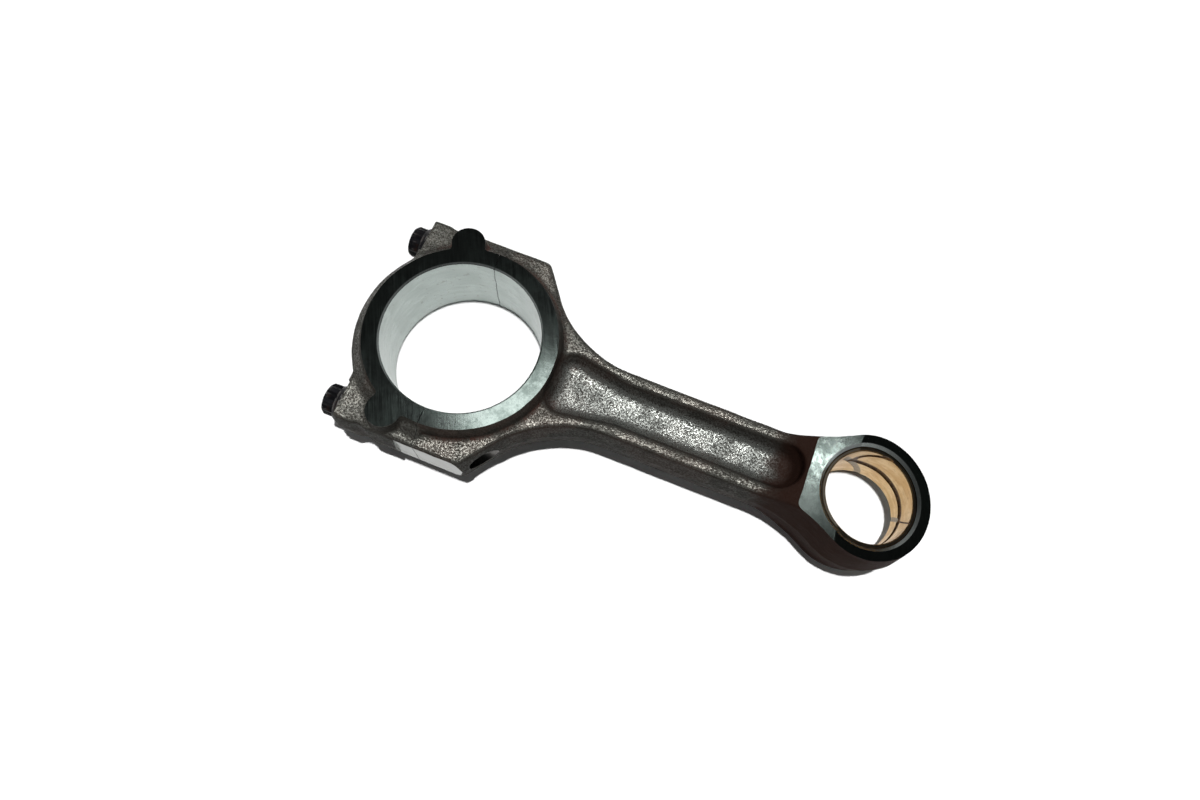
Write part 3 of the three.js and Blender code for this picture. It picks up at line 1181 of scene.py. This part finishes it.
    def pocket(self, side: int) -> BMesh:
        """Returns the pocket on one face, as the shape that is cut out.

        Args:
            side: 1 for the upper face and -1 for the lower one.

        Returns:
            The cutter, whose near side follows the ring's foot.
        """
        near = self.thrust_radius + self.ring_flare + self.pocket_lip
        turn = self.pocket_turn
        half_mouth = self.pocket_mouth / 2
        mouth_x = near * math.cos(turn) - (half_mouth - near * math.sin(turn)) * math.tan(turn)
        half_width = self.pocket_width / 2
        corners = both_sides(
            [
                Corner(self.pocket_end, half_width, half_width - self.pocket_end_flat),
                Corner(self.taper_end, half_width, self.taper_bend),
                Corner(self.mouth_end, half_mouth, self.mouth_bend),
                Corner(mouth_x, half_mouth, self.mouth_fillet),
            ],
            between=[Corner(near / math.cos(turn), 0, near)],
        )
        depth = self.half_height - self.web_thickness / 2
        bm = drafted_prism(corners, self.half_height, -depth, self.pocket_slope)
        low = self.half_height - depth
        bmesh.ops.bevel(
            bm,
            geom=[e for e in bm.edges if all(v.co.z < low + TOUCH for v in e.verts)],
            offset=self.pocket_floor_round,
            affect="EDGES",
            segments=6,
            profile=0.5,
            material=-1,
        )
        sunk = Solid("pocket", bm)
        sunk.add(drafted_prism(corners, self.half_height - TOUCH, self.clear_above))
        shape = sunk.take_shape()
        return upside_down(shape) if side < 0 else shape

    def roughen(self, bm: BMesh) -> None:
        """Adds the forging's unevenness and the line where its flash was trimmed.

        Args:
            bm: The smoothed forging.
        """
        bm.normal_update()
        for vert in bm.verts:
            wave = sum(noise.noise(vert.co * pace) * height for pace, height in (self.waves, self.ripples))
            upright = 1 - abs(vert.normal.z)
            ridge = math.exp(-((vert.co.z / self.flash_width) ** 2)) * max(0.0, upright - 0.4)
            torn = 0.7 + 0.6 * noise.noise(vert.co * 160 + Vector((7, 3, 1)))
            vert.co += vert.normal * (wave + ridge * torn * self.flash)

    def solid(self, finish: Material) -> Solid:
        """Returns the whole forging, rounded and uneven.

        Args:
            finish: The forging's material.

        Returns:
            One solid for rod and cap.
        """
        core = both_sides([Corner(0.15, 0.01), Corner(0.02, 0.01)])  # lies inside the beam
        blank = Solid("forging", forged_plate(core, 0.01, 0))
        for shape in self.big_end_shapes():
            blank.add(shape)
        blank.add(self.small_end().take_shape())
        notch_y = self.side_y + self.notch_offset * self.notch_radius
        for side in (1, -1):
            blank.cut(self.pocket(side))
            place = Matrix.Translation((-self.notch_setback, side * notch_y, 0))
            blank.cut(moved(cylinder(self.notch_radius, -FAR, FAR, 48), place))
        skin = blank.object.modifiers.new("skin", "REMESH")
        skin.mode = "VOXEL"
        skin.voxel_size = self.voxel
        round_edges = blank.object.modifiers.new("round", "SMOOTH")
        round_edges.factor = 0.5
        round_edges.iterations = self.rounding
        blank.apply_modifiers()
        blank.reshape(self.roughen)
        blank.clad(finish)
        return blank


# ---------------------------------------------------------------------------------------------
# Machining
# ---------------------------------------------------------------------------------------------


@dataclass
class RodAndCap:
    """The forging machined all over its working faces and cracked in two."""

    forging: Forging = field(default_factory=Forging)
    bore_chamfer: float = 0.8 * MM
    bush_outside: float = 21.95 * MM
    flank_y: float = 53.0 * MM
    flank_from: float = -9 * MM
    cap_hole: float = 6.4 * MM
    rod_hole: float = 6.15 * MM
    seat_x: float = -38.0 * MM
    seat_radius: float = 10.5 * MM
    seat_inner: float = 35.5 * MM  # where the seats' milling ends towards the rod's axis
    flank_overrun: float = 30 * MM  # how far the flanks' cutter runs past the shoulder
    thrust_overrun: float = 10 * MM  # where the thrust faces' cutter ends, short of the ramp's foot
    fold_round: float = 5 * MM  # radius that the fold is rubbed to
    eye_chamfer: float = 1.3 * MM
    crack: float = 0.3 * MM  # gap between the broken faces
    crack_waves: float = 0.55 * MM
    crack_sheet: tuple[float, float] = (62 * MM, 24 * MM)  # half the sheet's width and height

    def bore(self, x: float, radius: float) -> BMesh:
        """Returns a bore's cutter.

        Args:
            x: Where the bore's axis stands.
            radius: The bore's radius.

        Returns:
            The cutter.
        """
        end = 2 * self.forging.half_width
        return moved(cylinder(radius, end, -end, 256), Matrix.Translation((x, 0, 0)))

    def faces(self) -> Iterable[BMesh]:
        """Makes the cutters that leave the thrust faces and the small end's faces.

        Yields:
            One cutter after another.
        """
        half = self.forging.half_width
        reach = self.forging.centre_distance - self.forging.ramp_foot - self.thrust_overrun
        start = reach - 1 * MM
        fold_x = self.forging.centre_distance - FOLD
        profile = [
            Corner(start, half),
            Corner(fold_x, half, self.fold_round),
            Corner(fold_x + FAR, half - FAR * FOLD_SLOPE),
            Corner(fold_x + FAR, FAR),
            Corner(start, FAR),
        ]
        for side in (1, -1):
            yield box((-FAR, -FAR, side * half), (reach, FAR, side * FAR))
            slab = across(profile)
            yield upside_down(slab) if side < 0 else slab

    def broken_half(self, side: int) -> BMesh:
        """Returns the shape that cuts one half away along the crack.

        Args:
            side: 1 to cut away the rod's half and -1 to cut away the cap's half.

        Returns:
            A block whose near face is the crack's wavy surface.
        """
        bm = bmesh.new()
        sheet = Matrix.Diagonal((*self.crack_sheet, 1, 1))
        bmesh.ops.create_grid(bm, x_segments=150, y_segments=60, size=1, matrix=sheet)
        moved(bm, Matrix.Rotation(math.pi / 2, 4, "Y") @ Matrix.Rotation(math.pi / 2, 4, "Z"))
        for vert in bm.verts:
            coarse = noise.noise(Vector((vert.co.y, vert.co.z, 0)) * 130)
            fine = noise.noise(Vector((vert.co.y, vert.co.z, 0.5)) * 520)
            vert.co.x = -side * self.crack / 2 + (coarse + 0.4 * fine) * self.crack_waves
        return thickened(bm, (side * FAR, 0, 0))

    def finishes(self) -> dict[str, Material]:
        """Returns the machined faces' materials by name."""
        made = (
            MachinedSteel("ground_face", turn=62.0, stains=0.8),
            MachinedSteel(
                "milled_flank", bright=(0.26, 0.27, 0.255), tarnish=(0.16, 0.16, 0.15), shine=0.3,
                turn=0.0, mark=0.5 * MM, depth=0.02 * MM, stains=0.3,
            ),
            MachinedSteel(
                "drilled_hole", bright=(0.16, 0.155, 0.15), tarnish=(0.05, 0.045, 0.04), shine=0.35,
                lay=Lay.ROUND, mark=0.4 * MM, depth=0.03 * MM,
            ),
            MachinedSteel(
                "bolt_seat", bright=(0.40, 0.40, 0.385), shine=0.26, lay=Lay.ROUND, mark=0.3 * MM,
                stains=0.3,
            ),
            HonedBore("honed_bore", 0.0, self.forging.bore_radius),
            # Painted shade: the small bore's reamed wall is coloured near black.
            MachinedSteel(
                "reamed_eye", bright=(0.04, 0.038, 0.035), tarnish=(0.02, 0.018, 0.016), shine=0.3,
                turn=90.0,
            ),
            # Painted highlight: the bores' chamfers are coloured lighter than the ground faces.
            MachinedSteel("bore_edge", bright=(0.34, 0.37, 0.36), shine=0.2, turn=90.0, stains=0.2),
            BrokenSteel("broken_face"),
        )
        return {finish.name: finish.material() for finish in made}

    def machine_side(self, blank: Solid, steel: dict[str, Material], side: int) -> None:
        """Mills the flank and the bolt's seat on one side and drills the bolt's hole.

        Args:
            blank: The forging.
            steel: The machined faces' materials.
            side: 1 for the +Y side and -1 for the other.
        """
        forge = self.forging
        past = forge.shoulder_length + self.flank_overrun
        blank.cut(
            box((self.flank_from, side * self.flank_y, -FAR), (past, side * FAR, FAR)),
            steel["milled_flank"],
        )
        y = side * forge.bolt_y
        blank.cut(
            box((-FAR, side * self.seat_inner, -FAR), (self.seat_x, side * FAR, FAR)), steel["bolt_seat"]
        )
        blank.cut(along_x(cylinder(self.seat_radius, -FAR, self.seat_x, 72), y), steel["bolt_seat"])
        blank.cut(along_x(cylinder(self.cap_hole, -FAR, 0.0), y), steel["drilled_hole"])
        blank.cut(along_x(cylinder(self.rod_hole, -1 * MM, FAR / 5), y), steel["drilled_hole"])

    def build(self) -> None:
        """Builds, dresses and places the rod and the cap."""
        forge = self.forging
        skin = ForgedSteel("forged_steel").material()
        steel = self.finishes()
        rod = forge.solid(skin)
        for face in self.faces():
            rod.cut(face, steel["ground_face"])
        for side in (1, -1):
            self.machine_side(rod, steel, side)
        rod.cut(self.bore(0.0, forge.bore_radius), steel["honed_bore"])
        rod.cut(self.bore(forge.centre_distance, self.bush_outside), steel["reamed_eye"])
        for wall, width in (("honed_bore", self.bore_chamfer), ("reamed_eye", self.eye_chamfer)):
            rod.chamfer(steel[wall], steel["ground_face"], width, steel["bore_edge"])

        cap = rod.copy("bearing_cap_forging")
        rod.object.name = rod.object.data.name = "rod_body_forging"
        rod.cut(self.broken_half(-1), steel["broken_face"])
        cap.cut(self.broken_half(1), steel["broken_face"])
        for piece, body, slot, node in (
            (rod, "rod", "rod_forging", "rod_body"),
            (cap, "cap", "cap_forging", "bearing_cap"),
        ):
            mark_curvature(piece)
            piece.finish_piece(body, slot, node)


# ---------------------------------------------------------------------------------------------
# Bolts
# ---------------------------------------------------------------------------------------------


@dataclass
class CapBolt:
    """A flange bolt with a head of twelve points, drawn head first along -X."""

    name: str
    body: str
    node: str
    y: float
    seat_x: float = -38.05 * MM
    thread_radius: float = 6.0 * MM
    shank_radius: float = 5.75 * MM
    pitch: float = 1.25 * MM
    thread_depth: float = 0.72 * MM
    thread_start: float = -8 * MM
    thread_rows: int = 8  # rows of points per turn of the thread
    run_out: float = 1 * MM  # plain length before the thread
    tip_x: float = 20 * MM
    tip_chamfer: float = 1.2 * MM
    flange_radius: float = 9.6 * MM
    flange_height: float = 3.6 * MM
    head_radius: float = 7.6 * MM
    head_height: float = 6.4 * MM
    head_points: int = 12
    point_round: float = 0.25 * MM

    def shank(self) -> BMesh:
        """Makes the shank with its rolled thread.

        Returns:
            The shank, along Z with the tip up.
        """
        threaded = self.tip_x - self.thread_start
        rows = round(threaded / self.pitch * self.thread_rows)
        neck = self.seat_x - self.flange_height
        end = self.tip_x + TOUCH
        profile = [(0, neck), (self.shank_radius, neck)]
        profile += [(self.shank_radius, self.thread_start - self.run_out)]
        profile += [(self.thread_radius, self.thread_start + threaded * i / rows) for i in range(rows + 1)]
        profile += [(self.thread_radius - self.tip_chamfer, end), (0, end)]
        bm = turned(profile, 48)
        for vert in bm.verts:
            radius = math.hypot(vert.co.x, vert.co.y)
            if radius < self.thread_radius - TOUCH:
                continue
            turn = vert.co.z / self.pitch - math.atan2(vert.co.y, vert.co.x) / FULL_TURN
            flank = abs(2 * (turn % 1) - 1)  # 0 at a crest and 1 at a root, which are both cut flat
            run_in = min(1.0, (vert.co.z - self.thread_start) / (2 * self.pitch))
            to_tip = min(1.0, (self.tip_x - vert.co.z) / self.tip_chamfer)
            cut = self.thread_depth * min(1.0, max(0.0, 1.25 * flank - 0.12)) * run_in
            wanted = self.thread_radius - max(cut, (1 - to_tip) * self.tip_chamfer)
            vert.co.xy *= wanted / radius
        return bm

    def head(self) -> Solid:
        """Makes the flange and the head.

        Returns:
            Both in one solid, along Z with the head down.
        """
        base = self.seat_x - self.flange_height
        end = base - self.head_height
        flange = [
            (0, base - 1 * MM),
            (self.head_radius + 0.3 * MM, base - 0.2 * MM),
            (self.flange_radius - 0.5 * MM, self.seat_x - 1.9 * MM),
            (self.flange_radius, self.seat_x - 1.4 * MM),
            (self.flange_radius, self.seat_x - 0.3 * MM),
            (self.flange_radius - 0.3 * MM, self.seat_x),
            (0, self.seat_x),
        ]
        solid = Solid(self.name, turned(flange, 96))
        # Two hexagons turned by 30 degrees, whose sides cross in the valleys between the points.
        valley = math.cos(math.radians(30)) / math.cos(math.radians(15))
        bm = bmesh.new()
        star = bmesh.ops.create_circle(
            bm, cap_ends=True, segments=2 * self.head_points, radius=self.head_radius
        )
        for vert in star["verts"][1::2]:
            vert.co *= valley
        bmesh.ops.bevel(
            bm,
            geom=star["verts"],
            offset=self.point_round,
            affect="VERTICES",
            segments=3,
            profile=0.5,
            material=-1,
        )
        thickened(bm, (0, 0, self.head_height + 1 * MM))
        solid.add(moved(bm, Matrix.Translation((0, 0, end))))
        # The head's round outline, with a hollow in its end.
        dome = [
            (0, end + 0.9 * MM),
            (2.6 * MM, end + 0.9 * MM),
            (3.4 * MM, end + 0.1 * MM),
            (self.head_radius - 2.1 * MM, end),
            (self.head_radius - 0.9 * MM, end + 0.45 * MM),
            (self.head_radius - 0.2 * MM, end + 1.3 * MM),
            (self.head_radius + 0.1 * MM, end + 2.2 * MM),
            (self.flange_radius + 1 * MM, base),
            (self.flange_radius + 1 * MM, self.seat_x + 1 * MM),
            (0, self.seat_x + 1 * MM),
        ]
        return solid.keep(turned(dome, 96))

    def lay_down(self, bm: BMesh) -> None:
        """Lays the bolt along X in its own hole."""
        along_x(bm, self.y)

    def build(self, finish: Material) -> None:
        """Builds, dresses and places the bolt.

        Args:
            finish: The bolt's material.
        """
        bolt = self.head()
        bolt.add(self.shank())
        bolt.reshape(self.lay_down)
        bolt.clad(finish)
        mark_curvature(bolt, reach=1)
        bolt.finish_piece(self.body, "bolt_steel", self.node, crease=40)


# ---------------------------------------------------------------------------------------------
# Bush
# ---------------------------------------------------------------------------------------------


class Bottom(Enum):
    """What the bottom of a groove in the bush looks like."""

    OILED = "oil_groove"
    SHALLOW = "shallow_pocket"


@dataclass(frozen=True)
class Groove:
    """A groove in the bush's wall, by the (angle in degrees, height in mm) places that it passes."""

    stations: tuple[tuple[float, float], ...]
    width: float
    depth: float
    bottom: Bottom = Bottom.OILED


GROOVES = (
    Groove(((134, 12), (125, 6.4), (109, -2.6), (93, -12), (88, -22)), 3.2 * MM, 0.3 * MM, Bottom.SHALLOW),
    # The rolled bush's joint, widened in its lower part.
    Groove(((14, -22), (10, -14), (5, -6), (0, -1)), 2.0 * MM, 0.4 * MM, Bottom.SHALLOW),
    Groove(((0, -1), (-3, 2), (-10, 12), (-14, 22)), 0.7 * MM, 0.5 * MM),
    # The groove round the middle and the one that rises from it.
    Groove(
        (
            (118, 1.5), (109, 0.4), (101, -0.8), (86, -1.6), (71, -1.6), (52, -1.7),
            (36, -1.6), (20, -1.8), (5, -2.0), (-10, -2.2), (-26, -2.4), (-45, -2.2),
        ),
        4.2 * MM,
        0.9 * MM,
    ),
    Groove(
        ((112, 2.0), (112, 6), (106, 9.6), (96, 12.4), (88, 14.0), (80, 15.2), (70, 17)),
        2.8 * MM,
        0.7 * MM,
    ),
)


@dataclass
class SmallEndBush:
    """A rolled bronze bush with curved oil grooves that meet in straight ones."""

    centre_x: float = CENTRES
    radius: float = 20 * MM
    outside: float = 21.85 * MM
    recess: float = 1.5 * MM
    half_width: float = HALF_WIDTH
    mouth_chamfer: float = 0.5 * MM
    grooves: tuple[Groove, ...] = GROOVES

    def on_wall(self, angle: float, height: float) -> Matrix:
        """Returns the frame at a place on the bore's wall, its X axis pointing outwards."""
        turn = Matrix.Rotation(math.radians(angle), 4, "Z")
        return Matrix.Translation((self.centre_x, 0, height)) @ turn @ Matrix.Translation((self.radius, 0, 0))

    def smooth_path(self, groove: Groove) -> list[Vector]:
        """Draws a smooth curve on the wall through a groove's stations.

        Args:
            groove: The groove.

        Returns:
            Points along the curve, four to a station.
        """
        stations = [(angle, height * MM) for angle, height in groove.stations]
        path: list[tuple[float, float]] = []
        for i in range(len(stations) - 1):
            around = [stations[max(i - 1, 0)], *stations[i:i + 2], stations[min(i + 2, len(stations) - 1)]]
            p0, p1, p2, p3 = (Vector(p) for p in around)
            for step in range(4):
                t = step / 4
                point = 0.5 * (
                    2 * p1 + (p2 - p0) * t + (2 * p0 - 5 * p1 + 4 * p2 - p3) * t**2
                    + (3 * p1 - p0 - 3 * p2 + p3) * t**3
                )
                path.append((point.x, point.y))
        path.append(stations[-1])
        return [self.on_wall(angle, height).translation for angle, height in path]

    def cutter(self, groove: Groove) -> BMesh:
        """Sweeps a round tool along the wall.

        Args:
            groove: The groove that the tool cuts.

        Returns:
            The shape that it cuts out.
        """
        width, depth = groove.width, groove.depth
        spots = self.smooth_path(groove)
        bm = bmesh.new()
        ring: list[BMVert] = []
        before: Matrix | None = None
        for i, spot in enumerate(spots):
            ahead = (spots[min(i + 1, len(spots) - 1)] - spots[max(i - 1, 0)]).normalized()
            outward = (spot - Vector((self.centre_x, 0, spot.z))).normalized()
            across = ahead.cross(outward).normalized()
            here = Matrix((outward * 2 * depth / width, across, outward.cross(across))).transposed().to_4x4()
            here.translation = spot
            if before is None:
                made = bmesh.ops.create_circle(
                    bm, cap_ends=True, segments=12, radius=width / 2, matrix=here
                )
                ring = made["verts"]
            else:
                rim = [e for e in bm.edges if all(v in ring for v in e.verts)]
                made = bmesh.ops.extrude_edge_only(bm, edges=rim)
                ring = [item for item in made["geom"] if isinstance(item, BMVert)]
                bmesh.ops.transform(bm, matrix=here @ before.inverted(), verts=ring)
            before = here
        bmesh.ops.holes_fill(bm, edges=[e for e in bm.edges if e.is_boundary])
        bmesh.ops.recalc_face_normals(bm, faces=bm.faces)
        return bm

    def build(self) -> None:
        """Builds, dresses and places the bush."""
        bronze = BushBronze("bush_bronze", self.centre_x, self.radius).material()
        bottoms = {
            Bottom.OILED: OiledGroove(Bottom.OILED.value).material(),
            Bottom.SHALLOW: OiledGroove(
                Bottom.SHALLOW.value, dark=(0.24, 0.18, 0.11), light=(0.38, 0.31, 0.21)
            ).material(),
        }
        # Painted shade: the bush's recessed end and the chamfer at its mouth are coloured near black.
        end = MachinedSteel(
            "bush_end", bright=(0.05, 0.042, 0.032), tarnish=(0.018, 0.015, 0.012), shine=0.3
        ).material()
        rim = BushBronze(
            "bush_rim", self.centre_x, self.radius, bronze=(0.06, 0.04, 0.02), pale=(0.12, 0.08, 0.04)
        ).material()
        stock = self.half_width
        sleeve = [(self.radius, stock), (self.outside, stock), (self.outside, -stock), (self.radius, -stock)]
        place = Matrix.Translation((self.centre_x, 0, 0))
        bush = Solid("small_end_bush_bronze", moved(turned(sleeve, 256, hollow=True), place), bronze)
        half = self.half_width - self.recess
        fold_x = self.centre_x - FOLD
        side_view = [
            Corner(fold_x - 40 * MM, half),
            Corner(fold_x, half),
            Corner(fold_x + 60 * MM, half - 60 * MM * FOLD_SLOPE),
        ]
        bush.keep(across(both_sides(side_view)), end)
        bush.chamfer(bronze, end, self.mouth_chamfer, rim)
        for groove in self.grooves:
            bush.cut(self.cutter(groove), bottoms[groove.bottom])
        bush.finish_piece("rod", "bush_bronze", "small_end_bush")


# ---------------------------------------------------------------------------------------------
# Stage
# ---------------------------------------------------------------------------------------------


@dataclass(frozen=True)
class Softbox:
    """A soft light hung over the object, in metres and watts."""

    name: str
    place: tuple[float, float, float]
    size: tuple[float, float]
    watts: float


@dataclass
class Studio:
    """The pale floor, the soft lights and the camera."""

    floor_z: float = -HALF_WIDTH
    floor_size: float = 80.0
    softboxes: tuple[Softbox, ...] = (
        Softbox("ring_glow", (-0.42, 0.68, 3.0), (0.45, 0.62), 3.9),
        Softbox("eye_glow", (0.72, 0.92, 3.0), (0.32, 0.46), 0.45),
        Softbox("eye_spark", (0.82, 1.10, 3.0), (0.08, 0.12), 0.6),
    )
    aim: tuple[float, float, float] = (0.08, 0.0, 0.0)  # where the softboxes look
    key_strength: float = 3.7  # watts per square metre on the floor
    key_from: Vector = field(default_factory=lambda: Vector((0.0, 0.02, 1.0)))
    key_angle: float = math.radians(2)
    horizon_light: float = 0.5
    ceiling_light: float = 0.012
    dim_above: float = 0.75  # sine of the height from which the room is dim
    lens: float = 23.68
    camera_place: Vector = field(default_factory=lambda: Vector((95.75, -112.71, 345.45)) * MM)
    camera_right: Vector = field(default_factory=lambda: Vector((0.92936, 0.36652, 0.04411)))
    camera_down: Vector = field(default_factory=lambda: Vector((0.36060, -0.87571, -0.32108)))

    def camera(self) -> None:
        """Places the camera."""
        data = bpy.data.cameras.new("camera")
        data.lens = self.lens
        data.sensor_width = 36
        data.clip_start = 0.01
        right = self.camera_right.normalized()
        back = right.cross(-self.camera_down).normalized()
        up = back.cross(right)
        camera = bpy.data.objects.new("camera", data)
        turn = Matrix((right, up, back)).transposed().to_4x4()
        camera.matrix_world = Matrix.Translation(self.camera_place) @ turn
        bpy.context.scene.collection.objects.link(camera)
        bpy.context.scene.camera = camera

    def hang(self, softbox: Softbox) -> None:
        """Hangs a soft light that looks at the object.

        Args:
            softbox: The light.
        """
        data = bpy.data.lights.new(softbox.name, "AREA")
        data.shape = "RECTANGLE"
        data.size, data.size_y = softbox.size
        data.energy = softbox.watts
        lamp = bpy.data.objects.new(softbox.name, data)
        place = Vector(softbox.place)
        turn = (Vector(self.aim) - place).to_track_quat("-Z", "Y").to_matrix().to_4x4()
        lamp.matrix_world = Matrix.Translation(place) @ turn
        bpy.context.scene.collection.objects.link(lamp)

    def floor(self) -> None:
        """Lays the floor under the rod's faces."""
        r = Recipe("pale_floor")
        bm = bmesh.new()
        bmesh.ops.create_grid(bm, x_segments=1, y_segments=1, size=self.floor_size / 2)
        ground = Solid("floor", moved(bm, Matrix.Translation((0, 0, self.floor_z))))
        ground.object.data.materials.append(r.dress(base_color=(0.86, 0.86, 0.86), roughness=0.9))

    def key(self) -> None:
        """Sets the small hard key light far above the object."""
        data = bpy.data.lights.new("key", "SUN")
        data.energy = self.key_strength
        data.angle = self.key_angle
        lamp = bpy.data.objects.new("key", data)
        lamp.matrix_world = self.key_from.to_track_quat("Z", "Y").to_matrix().to_4x4()
        bpy.context.scene.collection.objects.link(lamp)

    def sky(self) -> None:
        """Sets the room's light: pale near the horizon and dim overhead."""
        world = bpy.data.worlds.new("room")
        world.use_nodes = True
        nodes, links = world.node_tree.nodes, world.node_tree.links
        towards = nodes.new("ShaderNodeTexCoord")
        split = nodes.new("ShaderNodeSeparateXYZ")
        fade = nodes.new("ShaderNodeMapRange")
        fade.interpolation_type = "SMOOTHSTEP"
        settings = (0.0, self.dim_above, self.horizon_light, self.ceiling_light)
        for socket, value in zip(fade.inputs[1:5], settings):
            socket.default_value = value
        links.new(towards.outputs["Generated"], split.inputs[0])
        links.new(split.outputs["Z"], fade.inputs["Value"])
        shade = nodes["Background"]
        shade.inputs["Color"].default_value = (1, 1, 1, 1)
        links.new(fade.outputs[0], shade.inputs["Strength"])
        bpy.context.scene.world = world

    def build(self) -> None:
        """Sets up the floor, the lights and the camera."""
        self.camera()
        self.floor()
        self.sky()
        self.key()
        for softbox in self.softboxes:
            self.hang(softbox)
        bpy.context.scene.view_settings.view_transform = "Standard"


def main() -> None:
    """Builds the rod piece by piece."""
    logging.basicConfig(level=logging.INFO, format="%(message)s")
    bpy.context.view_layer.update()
    Studio().build()
    RodAndCap().build()
    black = BlackedSteel("black_phosphate").material()
    for side, sign in (("left", 1), ("right", -1)):
        CapBolt(f"cap_bolt_{side}_steel", f"bolt_{side}", f"cap_bolt_{side}", sign * BOLT_Y).build(black)
    SmallEndBush().build()


if __name__ == "__main__":
    main()
